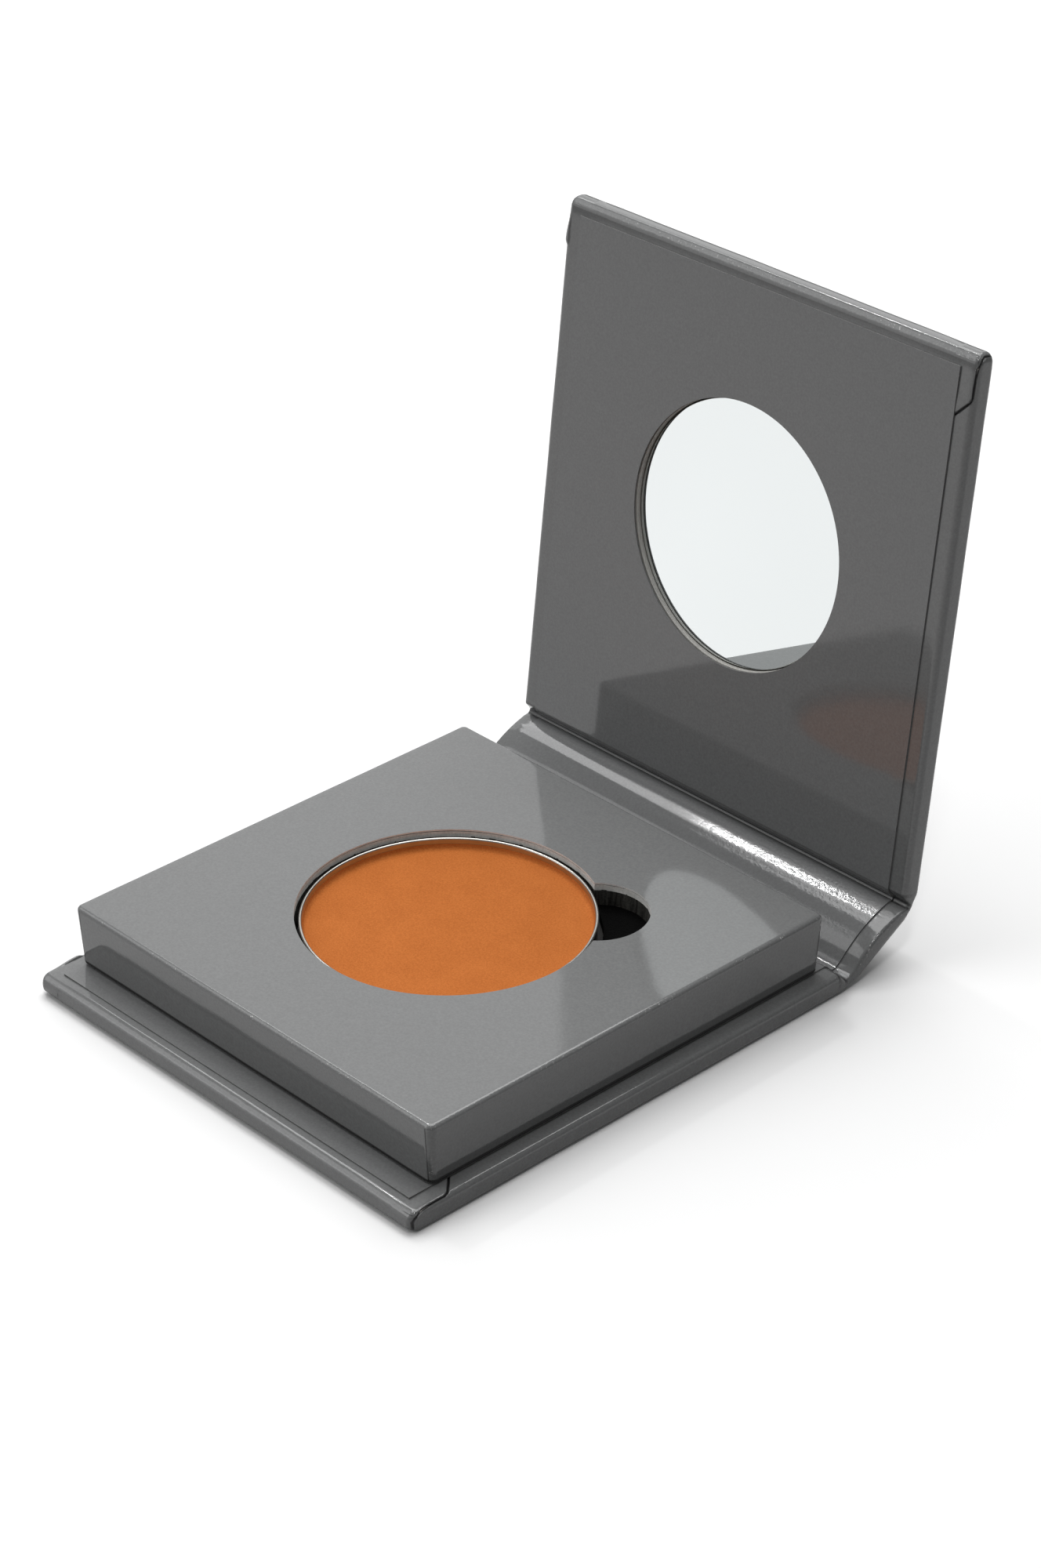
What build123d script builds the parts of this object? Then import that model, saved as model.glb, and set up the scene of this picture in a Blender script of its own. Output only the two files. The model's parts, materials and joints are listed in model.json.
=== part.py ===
from build123d import *
from math import cos, radians, sin, sqrt
import os

os.makedirs("parts", exist_ok=True)

# ---------------------------------------------------------------------------
# Powder compact: a magnetic refill pan in a hard paper-covered folding case.
# +X runs along the hinge, +Y points to the spine, +Z up. The origin is the
# centre of the base cover's underside. All sizes are in millimetres.
# ---------------------------------------------------------------------------

# Covers: greyboard in laminated paper, lined with a second sheet
cover_width = 68.0
cover_depth = 70.0
paper = 0.2
base_board_t = 2.5
lid_board_t = 1.0
window_board_t = 1.65
spine_board_t = 1.7
corner_r = 1.4          # plan radius of the free corners
edge_r = 0.8            # round of the wrapped edges
turn_in = 12.0          # wrap folded over onto the inside
liner_side = 2.5        # turned wrap left showing beside the liner
liner_front = 1.6       # and along the free edge

# Folding joints: a bare strip of paper between two creases, each side of the spine
joint_width = 3.2       # crease to crease across one strip
crease_gap = 0.2        # crease to the covered board's edge
strip_gap = 0.15        # crease to the strip's end
lid_clearance = 0.275   # lid liner above the tray when shut

# Rest pose: the angle folded at each crease, base to lid
folds = (14.0, 16.0, 26.0, 27.2)

# Tray: a wrapped card box with the pan seat, taped on the base
tray_side = 64.5
tray_height = 8.4
tray_taper = 0.4        # each wall leans in this much at its foot
tray_card_t = 0.75
tray_bottom_t = 0.8
tray_margin = 4.25      # base showing in front of the tray
tray_corner_r = 0.9
tray_edge_r = 0.7
tape_t = 0.4
tape_inset = 3.0        # tape's edge in from the tray's foot
fill_clearance = 0.1    # fillings to the tray's card walls

# Pan, powder and seat
pan_d = 36.5
pan_h = 3.6
pan_wall = 0.3
pan_bead = 0.55         # rolled rim, in from the outside
pan_bead_h = 0.5
pan_fit = 0.5           # radial clearance in the seat
pan_recess = 0.75       # rim below the tray top
powder_recess = 1.4     # powder below the rim
notch_d = 13.0
notch_reach = 24.5      # pan centre to the notch's far end
notch_depth = 3.15      # notch floor below the tray top
notch_angle = 45.0
magnet_sheet_t = 0.8

# Mirror in the lid
window_d = 34.9
window_y = 36.2         # lid crease to the window's centre
mirror_fit = 0.15
mirror_t = 0.9
mirror_tape_t = 0.1
mirror_tape_d = 30.0

# Closure magnets, two in the tray and two in the lid
closure_d = 8.0
closure_fit = 0.1
closure_x = 24.0
closure_inset = 8.25    # disc centre behind the tray's front
tray_magnet_t = 2.0
lid_magnet_t = 1.4

# ---------------------------------------------------------------------------
# Heights and places that follow
# ---------------------------------------------------------------------------
base_t = base_board_t + 3 * paper
lid_t = lid_board_t + window_board_t + 3 * paper
lid_boards_t = lid_board_t + window_board_t
liner_width = cover_width - 2 * liner_side
back_y = cover_depth / 2
tray_y = -cover_depth / 2 + tray_margin + tray_side / 2
tray_top = base_t + tray_height
tray_foot = base_t + tape_t
seat_r = pan_d / 2 + pan_fit
pan_floor = tray_top - pan_recess - pan_h
notch_floor = tray_top - notch_depth
card_under = tray_top - paper - tray_card_t
closure_y = tray_y - tray_side / 2 + closure_inset

# Shut, both strips of a pair stand at 45 degrees and the spine between them is upright
spine_span = tray_height + lid_clearance + base_t + lid_t - 2 * paper - sqrt(2) * joint_width
spine_length = spine_span - 2 * crease_gap

# Crease planes: local X along the crease, local Y along the sheet, local Z to the inside
creases = []
angle, crease_y, crease_z = 0.0, back_y + crease_gap, paper
for fold, length in zip(folds, (joint_width, spine_span, joint_width, 0)):
    angle += fold
    along, up = cos(radians(angle)), sin(radians(angle))
    creases.append(Plane(origin=(0, crease_y, crease_z), x_dir=(1, 0, 0), z_dir=(0, -up, along)))
    crease_y += length * along
    crease_z += length * up
lower_plane, spine_plane, upper_plane, lid_plane = creases

# The base runs forward from its crease, so its plane is turned about Z
base_plane = Plane(origin=lower_plane.origin, x_dir=(-1, 0, 0), z_dir=(0, 0, 1))

stand = (Align.CENTER, Align.MIN, Align.MIN)
disc = (Align.CENTER, Align.CENTER, Align.MIN)


# ---------------------------------------------------------------------------
# Covers
# ---------------------------------------------------------------------------
def cover_block(plane, bottom, height, inset):
    """Cover-shaped slab set in on every side, with its three free edges rounded."""
    with BuildPart() as block:
        with BuildSketch(plane.offset(bottom)) as outline:
            with Locations((0, crease_gap + cover_depth / 2)):
                Rectangle(cover_width - 2 * inset, cover_depth - 2 * inset)
            fillet(outline.vertices().sort_by(Axis.Y)[-2:], corner_r - inset)
        extrude(amount=height)
        outward = Axis(plane.origin, plane.y_dir)
        ends = block.faces().sort_by(Axis(plane.origin, plane.z_dir))
        rims = ends[0].edges().sort_by(outward)[1:] + ends[-1].edges().sort_by(outward)[1:]
        fillet(rims, edge_r - inset)
    return block.part


def cover_wrap(plane, board_t):
    """Outer sheet: the outside face, the folded edges and the turn-ins."""
    with BuildPart() as wrap:
        add(cover_block(plane, -paper, board_t + 2 * paper, 0))
        add(cover_block(plane, 0, board_t, paper), mode=Mode.SUBTRACT)
        with Locations(plane):
            with Locations((0, crease_gap, board_t)):
                Box(cover_width - 2 * turn_in, cover_depth - turn_in, paper, align=stand,
                    mode=Mode.SUBTRACT)
            with Locations((0, crease_gap, 0)):
                Box(liner_width, paper, board_t + paper, align=stand, mode=Mode.SUBTRACT)
    return wrap.part


def cover_liner(plane, board_t):
    """Lining sheet: over the turn-ins, onto the board between them, down its hinge edge."""
    with BuildPart() as liner:
        with Locations(plane):
            with Locations((0, crease_gap, board_t + paper)):
                Box(liner_width, cover_depth - liner_front, paper, align=stand)
            with Locations((0, crease_gap, board_t)):
                Box(cover_width - 2 * turn_in, cover_depth - turn_in, paper, align=stand)
            with Locations((0, crease_gap, 0)):
                Box(liner_width, paper, board_t + paper, align=stand)
    return liner.part


base_wrap = cover_wrap(base_plane, base_board_t)
base_board = cover_block(base_plane, 0, base_board_t, paper)
base_liner = cover_liner(base_plane, base_board_t)

lid_wrap = cover_wrap(lid_plane, lid_boards_t)

with BuildPart() as lid_board:
    add(cover_block(lid_plane, 0, lid_boards_t, paper))
    split(bisect_by=lid_plane.offset(lid_board_t), keep=Keep.BOTTOM)

lid_closure_y = back_y + crease_gap - closure_y
with BuildPart() as lid_window_board:
    add(cover_block(lid_plane, 0, lid_boards_t, paper))
    split(bisect_by=lid_plane.offset(lid_board_t), keep=Keep.TOP)
    with Locations(lid_plane):
        with Locations((0, window_y, lid_board_t)):
            Cylinder(window_d / 2, window_board_t, align=disc, mode=Mode.SUBTRACT)
        with Locations((-closure_x, lid_closure_y, lid_board_t),
                       (closure_x, lid_closure_y, lid_board_t)):
            Cylinder(closure_d / 2 + closure_fit, window_board_t, align=disc, mode=Mode.SUBTRACT)

with BuildPart() as lid_liner:
    add(cover_liner(lid_plane, lid_boards_t))
    with Locations(lid_plane):
        with Locations((0, window_y, lid_boards_t)):
            Cylinder(window_d / 2, 2 * paper, align=disc, mode=Mode.SUBTRACT)

with BuildPart(lid_plane) as mirror_tape:
    with Locations((0, window_y, lid_board_t)):
        Cylinder(mirror_tape_d / 2, mirror_tape_t, align=disc)

with BuildPart(lid_plane) as mirror:
    with Locations((0, window_y, lid_board_t + mirror_tape_t)):
        Cylinder(window_d / 2 - mirror_fit, mirror_t, align=disc)
    chamfer(mirror.edges().filter_by(GeomType.CIRCLE), 0.1)


def lid_magnet(side):
    """Closure disc in the window board's pocket, against the outer board."""
    with BuildPart(lid_plane) as magnet:
        with Locations((side * closure_x, lid_closure_y, lid_board_t)):
            Cylinder(closure_d / 2, lid_magnet_t, align=disc)
    return magnet.part


# ---------------------------------------------------------------------------
# Spine
# ---------------------------------------------------------------------------
spine_end = spine_length - paper

with BuildPart(spine_plane) as spine_board:
    with Locations((0, crease_gap + paper, 0)):
        Box(cover_width - 2 * paper, spine_length - 2 * paper, spine_board_t, align=stand)
    fillet(spine_board.faces().sort_by(Axis(spine_plane.origin, spine_plane.z_dir))[-1].edges(),
           edge_r - paper)

with BuildPart(spine_plane) as spine_wrap:
    with Locations((0, crease_gap, -paper)):
        Box(cover_width, spine_length, spine_board_t + 2 * paper, align=stand)
    ends = spine_wrap.edges().filter_by(lambda e: abs(e.tangent_at(0.5).X) < 0.01)
    sheet_edges = ends.filter_by(lambda e: e.length > spine_length / 2)
    fillet(sheet_edges, edge_r)
    with Locations((0, crease_gap + paper, 0)):
        Box(cover_width - 2 * paper, spine_length - 2 * paper, spine_board_t, align=stand,
            mode=Mode.SUBTRACT)
    with Locations((0, crease_gap, spine_board_t)):
        Box(cover_width - 2 * turn_in, spine_length, paper, align=stand, mode=Mode.SUBTRACT)
    with Locations((0, crease_gap, 0), (0, crease_gap + spine_end, 0)):
        Box(liner_width, paper, spine_board_t + paper, align=stand, mode=Mode.SUBTRACT)

with BuildPart(spine_plane) as spine_liner:
    with Locations((0, crease_gap, spine_board_t + paper)):
        Box(liner_width, spine_length, paper, align=stand)
    with Locations((0, crease_gap, spine_board_t)):
        Box(cover_width - 2 * turn_in, spine_length, paper, align=stand)
    with Locations((0, crease_gap, 0), (0, crease_gap + spine_end, 0)):
        Box(liner_width, paper, spine_board_t + paper, align=stand)


# ---------------------------------------------------------------------------
# Folding joints
# ---------------------------------------------------------------------------
strip_length = joint_width - 2 * strip_gap


def joint_wrap(plane):
    """Outer paper across the joint, folded over on itself at both ends."""
    with BuildPart(plane) as strip:
        with Locations((0, strip_gap, -paper)):
            Box(cover_width, strip_length, paper, align=stand)
        for side in (-1, 1):
            with Locations((side * (cover_width - liner_side) / 2, strip_gap, 0)):
                Box(liner_side, strip_length, paper, align=stand)
    return strip.part


def joint_liner(plane):
    """Lining pressed down onto the outer paper across the joint."""
    with BuildPart(plane) as strip:
        with Locations((0, strip_gap, 0)):
            Box(liner_width, strip_length, paper, align=stand)
    return strip.part


# ---------------------------------------------------------------------------
# Tray
# ---------------------------------------------------------------------------
def tray_block(top, inset, round_edge):
    """Tapered square block from the tray's foot up, set in from its outside."""
    with BuildPart() as block:
        for z in (tray_foot, top):
            lean = tray_taper * (tray_top - z) / (tray_top - tray_foot)
            side = tray_side - 2 * (lean + inset)
            with BuildSketch(Plane.XY.offset(z)):
                with Locations((0, tray_y)):
                    RectangleRounded(side, side, max(tray_corner_r - inset, 0.1))
        loft()
        if round_edge:
            fillet(block.faces().sort_by(Axis.Z)[-1].edges(), tray_edge_r - inset)
    return block.part


def seat_cut(bottom, top, notch):
    """Prism for the pan's round seat, with the finger notch on its edge."""
    with BuildPart() as cut:
        with BuildSketch(Plane.XY.offset(bottom)):
            with Locations((0, tray_y)):
                Circle(seat_r)
                if notch:
                    with PolarLocations(notch_reach - notch_d / 2, 1, notch_angle):
                        Circle(notch_d / 2)
        extrude(amount=top - bottom)
    return cut.part


fill_side = tray_side - 2 * (tray_taper + paper + tray_card_t + fill_clearance)

with BuildPart() as tray_wrap:
    add(tray_block(tray_top, 0, True))
    add(tray_block(tray_top - paper, paper, True), mode=Mode.SUBTRACT)
    add(seat_cut(card_under, tray_top, True), mode=Mode.SUBTRACT)

with BuildPart() as tray_card:
    add(tray_block(tray_top - paper, paper, True))
    add(tray_block(card_under, paper + tray_card_t, False), mode=Mode.SUBTRACT)
    add(seat_cut(card_under, tray_top, True), mode=Mode.SUBTRACT)

with BuildPart() as tray_tape:
    with Locations((0, tray_y, base_t)):
        Box(fill_side - 2 * tape_inset, fill_side - 2 * tape_inset, tape_t, align=disc)

with BuildPart() as tray_bottom:
    with Locations((0, tray_y, tray_foot)):
        Box(fill_side, fill_side, tray_bottom_t, align=disc)

with BuildPart() as filler_board:
    with Locations((0, tray_y, tray_foot + tray_bottom_t)):
        Box(fill_side, fill_side, pan_floor - magnet_sheet_t - tray_foot - tray_bottom_t, align=disc)

with BuildPart() as magnet_sheet:
    with Locations((0, tray_y, pan_floor - magnet_sheet_t)):
        Box(fill_side, fill_side, magnet_sheet_t, align=disc)

with BuildPart() as foam_base:
    with Locations((0, tray_y, pan_floor)):
        Box(fill_side, fill_side, notch_floor - pan_floor, align=disc)
    add(seat_cut(pan_floor, notch_floor, False), mode=Mode.SUBTRACT)

with BuildPart() as foam_insert:
    with Locations((0, tray_y, notch_floor)):
        Box(fill_side, fill_side, card_under - notch_floor, align=disc)
    add(seat_cut(notch_floor, card_under, True), mode=Mode.SUBTRACT)
    with Locations((-closure_x, closure_y, notch_floor), (closure_x, closure_y, notch_floor)):
        Cylinder(closure_d / 2 + closure_fit, card_under - notch_floor, align=disc,
                 mode=Mode.SUBTRACT)


def tray_magnet(side):
    """Closure disc in the foam's pocket, under the tray's card top."""
    with BuildPart() as magnet:
        with Locations((side * closure_x, closure_y, card_under - tray_magnet_t)):
            Cylinder(closure_d / 2, tray_magnet_t, align=disc)
    return magnet.part


# ---------------------------------------------------------------------------
# Pan and powder
# ---------------------------------------------------------------------------
pan_inner_r = pan_d / 2 - pan_bead

with BuildPart() as pan:
    with Locations((0, tray_y, pan_floor)):
        Cylinder(pan_inner_r + pan_wall, pan_h, align=disc)
    fillet(pan.edges().sort_by(Axis.Z)[0], pan_wall)
    with Locations((0, tray_y, pan_floor + pan_h - pan_bead_h)):
        Cylinder(pan_d / 2, pan_bead_h, align=disc)
    with Locations((0, tray_y, pan_floor + pan_wall)):
        Cylinder(pan_inner_r, pan_h, align=disc, mode=Mode.SUBTRACT)
    rim = pan.edges().filter_by(GeomType.CIRCLE).filter_by_position(
        Axis.Z, pan_floor + pan_h - 0.01, pan_floor + pan_h + 0.01)
    fillet(rim, 0.4 * pan_bead)

with BuildPart() as powder:
    with Locations((0, tray_y, pan_floor + pan_wall)):
        Cylinder(pan_inner_r, pan_h - powder_recess - pan_wall, align=disc)

# ---------------------------------------------------------------------------
# One file for each piece
# ---------------------------------------------------------------------------
nodes = {
    "base_wrap": base_wrap,
    "base_board": base_board,
    "base_liner": base_liner,
    "tray_tape": tray_tape.part,
    "tray_bottom": tray_bottom.part,
    "filler_board": filler_board.part,
    "magnet_sheet": magnet_sheet.part,
    "foam_base": foam_base.part,
    "foam_insert": foam_insert.part,
    "tray_magnet_left": tray_magnet(-1),
    "tray_magnet_right": tray_magnet(1),
    "tray_card": tray_card.part,
    "tray_wrap": tray_wrap.part,
    "lower_joint_wrap": joint_wrap(lower_plane),
    "lower_joint_liner": joint_liner(lower_plane),
    "spine_wrap": spine_wrap.part,
    "spine_board": spine_board.part,
    "spine_liner": spine_liner.part,
    "upper_joint_wrap": joint_wrap(upper_plane),
    "upper_joint_liner": joint_liner(upper_plane),
    "lid_wrap": lid_wrap,
    "lid_board": lid_board.part,
    "lid_window_board": lid_window_board.part,
    "lid_liner": lid_liner.part,
    "lid_magnet_left": lid_magnet(-1),
    "lid_magnet_right": lid_magnet(1),
    "mirror_tape": mirror_tape.part,
    "mirror": mirror.part,
    "pan": pan.part,
    "powder": powder.part,
}
for name, node in nodes.items():
    node.label = name
    export_step(node, f"parts/{name}.step")
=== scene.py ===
import json
import math

import bmesh
import bpy
from mathutils import Matrix, Vector, noise
from mathutils.geometry import interpolate_bezier, intersect_point_line


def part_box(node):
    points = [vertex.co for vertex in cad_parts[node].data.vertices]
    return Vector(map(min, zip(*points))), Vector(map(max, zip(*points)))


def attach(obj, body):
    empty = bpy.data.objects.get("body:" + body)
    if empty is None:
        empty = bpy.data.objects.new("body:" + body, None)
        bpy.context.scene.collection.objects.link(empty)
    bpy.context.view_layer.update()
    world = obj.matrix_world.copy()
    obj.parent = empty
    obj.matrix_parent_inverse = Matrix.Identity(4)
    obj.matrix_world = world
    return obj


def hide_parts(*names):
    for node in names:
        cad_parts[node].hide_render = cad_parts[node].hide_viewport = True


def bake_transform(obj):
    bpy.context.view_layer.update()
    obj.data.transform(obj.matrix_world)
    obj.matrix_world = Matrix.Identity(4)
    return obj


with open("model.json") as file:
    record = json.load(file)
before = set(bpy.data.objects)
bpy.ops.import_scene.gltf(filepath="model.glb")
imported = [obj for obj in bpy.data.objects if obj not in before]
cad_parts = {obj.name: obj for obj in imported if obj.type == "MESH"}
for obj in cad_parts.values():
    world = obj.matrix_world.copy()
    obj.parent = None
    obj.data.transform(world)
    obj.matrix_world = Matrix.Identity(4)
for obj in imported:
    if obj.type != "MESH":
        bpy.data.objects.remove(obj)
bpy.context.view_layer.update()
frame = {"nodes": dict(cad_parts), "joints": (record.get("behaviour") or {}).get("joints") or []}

# ---------------------------------------------------------------------------
# Wrap of the base cover. One sheet of grey paper, gloss laminated, is glued
# round the greyboard. Its sides are turned in first and the free edge last,
# so a pinched ear of paper lies over each side at the free corners.
# ---------------------------------------------------------------------------
mm = 0.001
tiny = 0.001 * mm
paper = 0.2 * mm
cover_width = 68 * mm
cover_depth = 70 * mm
crease_gap = 0.2 * mm
free_edge = crease_gap + cover_depth
seam = 1.0 * mm            # the rigid sheets start here, the hinge sheets before it
corner_r = 0.9 * mm
edge_r = 0.8 * mm
rim_steps = 5
turn_in = 12 * mm
base_board = 2.5 * mm


class Flow:
    """A socket in a finish. Sums and products written with it add Math nodes."""

    def __init__(self, tree, socket):
        self.tree, self.socket = tree, socket

    def node(self, kind, inputs, output=0, **settings):
        """Any other node: its kind, its settings, and the values or links of its sockets."""
        made = self.tree.nodes.new(kind)
        for name, value in settings.items():
            setattr(made, name, value)
        for key, value in inputs.items():
            if isinstance(value, Flow):
                self.tree.links.new(value.socket, made.inputs[key])
            else:
                made.inputs[key].default_value = value
        return Flow(self.tree, made.outputs[output])

    def maths(self, operation, *values, clamp=False):
        return self.node("ShaderNodeMath", dict(enumerate(values)),
                         operation=operation, use_clamp=clamp)

    def __add__(self, other):
        return self.maths("ADD", self, other)

    def __sub__(self, other):
        return self.maths("SUBTRACT", self, other)

    def __rsub__(self, other):
        return self.maths("SUBTRACT", other, self)

    def __mul__(self, other):
        return self.maths("MULTIPLY", self, other)

    __radd__, __rmul__ = __add__, __mul__

    def grain(self, size, detail=2.0, rough=0.5):
        """Noise of about -0.5 to 0.5 whose lumps are `size` across."""
        return self.node("ShaderNodeTexNoise", {
            "Vector": self, "Scale": 1 / size, "Detail": detail, "Roughness": rough}) - 0.5

    def between(self, low, high):
        """0 below low, 1 above high, smooth between."""
        return self.node("ShaderNodeMapRange", {
            "Value": self, "From Min": low, "From Max": high},
            interpolation_type="SMOOTHSTEP")

    def shade(self, dark, light):
        """Colour from dark at 0 to light at 1."""
        return self.over((*dark, 1), light)

    def over(self, under, colour):
        """Lays a colour on what is under it, by this much from 0 to 1."""
        return self.node("ShaderNodeMix", {0: self, 6: under, 7: (*colour, 1)},
                         output=2, data_type="RGBA")


def new_finish(name, **fixed):
    """A finish with its constants set: (material, its shader, object coordinates)."""
    material = bpy.data.materials.new(name)
    material.use_nodes = True
    shader = material.node_tree.nodes["Principled BSDF"]
    for socket, value in fixed.items():
        shader.inputs[socket.replace("_", " ")].default_value = value
    place = material.node_tree.nodes.new("ShaderNodeTexCoord").outputs["Object"]
    return material, shader, Flow(material.node_tree, place)


def feed(shader, **flows):
    for socket, flow in flows.items():
        flow.tree.links.new(flow.socket, shader.inputs[socket.replace("_", " ")])


def relief(height):
    """Normal for a height in millimetres."""
    return height.node("ShaderNodeBump", {"Height": height, "Strength": 1.0, "Distance": mm})


def laminate(name, tone):
    """Grey paper under a gloss film: fine orange peel, cracked and worn pale on folds.

    A sheet's "fold" attribute is 1 on its folded edges, where the pale worn specks also paint
    sparkling highlights, and its gap-shade attribute is 1 down in a cut, seam or crease, where
    near-black painted shade is laid.
    """
    material, shader, where = new_finish(name, IOR=1.5, Specular_IOR_Level=0.5)
    fold = where.node("ShaderNodeAttribute", {}, output=2, attribute_name="fold")
    painted_gap_shade = where.node("ShaderNodeAttribute", {}, output=2, attribute_name="painted_gap_shade")
    mottle = where.grain(1.1 * mm, 3) * 0.12 + where.grain(0.3 * mm, 2) * 0.7
    grey = (mottle + 0.5).shade([0.72 * t for t in tone], [1.28 * t for t in tone])
    specks = where.grain(0.3 * mm, 2, 0.6).between(0.12, 0.2)
    patches = where.grain(5 * mm, 2).between(-0.05, 0.1)
    # pale specks on folded edges: worn film, and also painted sparkling highlights where the folds
    # catch the light
    worn_and_glints = specks * patches * fold.between(0.7, 1.0) * 0.75
    # near-black painted shade down in cuts, seams and creases, laid over the paper
    sheet = painted_gap_shade.over(worn_and_glints.over(grey, (0.62, 0.62, 0.61)), (0.004, 0.004, 0.004))
    peel = where.grain(0.4 * mm, 2) * 0.0016 + where.grain(9 * mm, 1) * 0.012
    cracks = where.grain(0.42 * mm, 3, 0.6) * fold * 0.034
    feed(shader, Base_Color=sheet, Normal=relief(peel + cracks),
         Roughness=where.grain(2.5 * mm, 3) * 0.03 + painted_gap_shade * 0.5 + 0.075)
    return material


def raw_edge(name, dark, light, grain=0.18 * mm):
    """Cut edge of paper or board: pale matted fibres."""
    material, shader, where = new_finish(name, Roughness=0.85, Specular_IOR_Level=0.25)
    flecks = where.grain(grain, 4, 0.65) + where.grain(1.3 * mm, 2) * 0.6
    feed(shader, Base_Color=(flecks * 1.6 + 0.5).shade(dark, light),
         Normal=relief(where.grain(0.12 * mm, 3) * 0.03))
    return material


def whole(faces):
    """Faces with all their edges and corners, each once."""
    return faces + list(dict.fromkeys(e for f in faces for e in f.edges)) + list(
        dict.fromkeys(v for f in faces for v in f.verts))


def rule(bm, axis, places, geom=None):
    """Cuts faces square across an axis, at each place in turn."""
    geom = geom or bm.faces[:] + bm.edges[:] + bm.verts[:]
    normal = Vector((0, 0, 0))
    normal[axis] = 1
    for place in places:
        geom = bmesh.ops.bisect_plane(bm, geom=geom, dist=0.01 * mm,
                                      plane_co=normal * place, plane_no=normal)["geom"]
    return geom


def steps(start, end, count):
    return [start + (end - start) * i / count for i in range(count + 1)]


def smooth(value, low, high):
    """0 at low, 1 at high, with a soft start and end."""
    part = min(1, max(0, (value - low) / (high - low)))
    return part * part * (3 - 2 * part)


def make_piece(name, bm, finishes, body=None, place=None, wall=0, cuts=(), sharp=35):
    """Gives a sheet its thickness, cuts its holes, and puts it in place on its body."""
    bmesh.ops.remove_doubles(bm, verts=bm.verts, dist=tiny)
    mesh = bpy.data.meshes.new(name)
    bm.to_mesh(mesh)
    bm.free()
    shape = bpy.data.objects.new(name, mesh)
    bpy.context.scene.collection.objects.link(shape)
    for material in finishes:
        mesh.materials.append(material)
    if wall:
        thickness = shape.modifiers.new("paper", "SOLIDIFY")
        thickness.thickness, thickness.offset = wall, -1
        thickness.use_quality_normals = True
        thickness.material_offset_rim = len(finishes) - 1
    for cut in cuts:
        hole = shape.modifiers.new("cut", "BOOLEAN")
        hole.object, hole.solver, hole.operation = cut, "EXACT", "DIFFERENCE"
    final = bpy.data.meshes.new_from_object(
        shape.evaluated_get(bpy.context.evaluated_depsgraph_get()))
    shape.modifiers.clear()
    shape.data = final
    final.name = name
    bpy.data.meshes.remove(mesh)
    if place is not None:
        final.transform(place)
    final.shade_smooth()
    final.set_sharp_from_angle(angle=math.radians(sharp))
    even = shape.modifiers.new("even_shading", "WEIGHTED_NORMAL")
    even.keep_sharp = True
    if body:
        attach(shape, body)
    return shape


def face_out(bm, up):
    """Turns a sheet's faces so that they look the way of `up` at its first face."""
    bmesh.ops.recalc_face_normals(bm, faces=bm.faces)
    bm.faces.ensure_lookup_table()
    if bm.faces[0].normal.dot(up) < 0:
        bmesh.ops.reverse_faces(bm, faces=bm.faces)


def ear_line(top, side):
    """Cut edge of the pinched ear: up the corner, along the edge, and in to the lining.

    Each point is out from the middle, in from the free edge, and up from the board, in mm.
    """
    path = [(33.74, 0.26, 0.1), (33.74, 0.26, top - 1.3), (33.86, 0.45, top - 0.7),
            (33.85, 0.9, top - 0.4), (33.75, 1.5, top - 0.21), (33.7, 2.5, top - 0.17),
            (33.66, 3.7, top - 0.15), (33.68, 4.9, top - 0.16), (33.46, 5.6, top - 0.06),
            (32.2, 6.9, top), (31.3, 7.75, top)]
    return [Vector((side * x * mm, free_edge - f * mm, z * mm)) for x, f, z in path]


def near_on(point, start, end):
    nearest, part = intersect_point_line(point, start, end)
    return start if part < 0 else end if part > 1 else nearest


ear_from = 30.4 * mm        # the ears' fine squares start this far out, and
ear_length = 8.2 * mm       # this far in from the free edge
ear_shade_r = 0.19 * mm          # half the width of the painted shade line at the ear's cut edge
slit_depth = 0.18 * mm
edge_roll = 0.42 * mm       # the free edge bulges outwards by this much
edge_sink = 0.09 * mm
corner_sink = 0.05 * mm
tail_lift = 0.26 * mm       # lump of the turn-in's tail, at the corner without a cut


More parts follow.
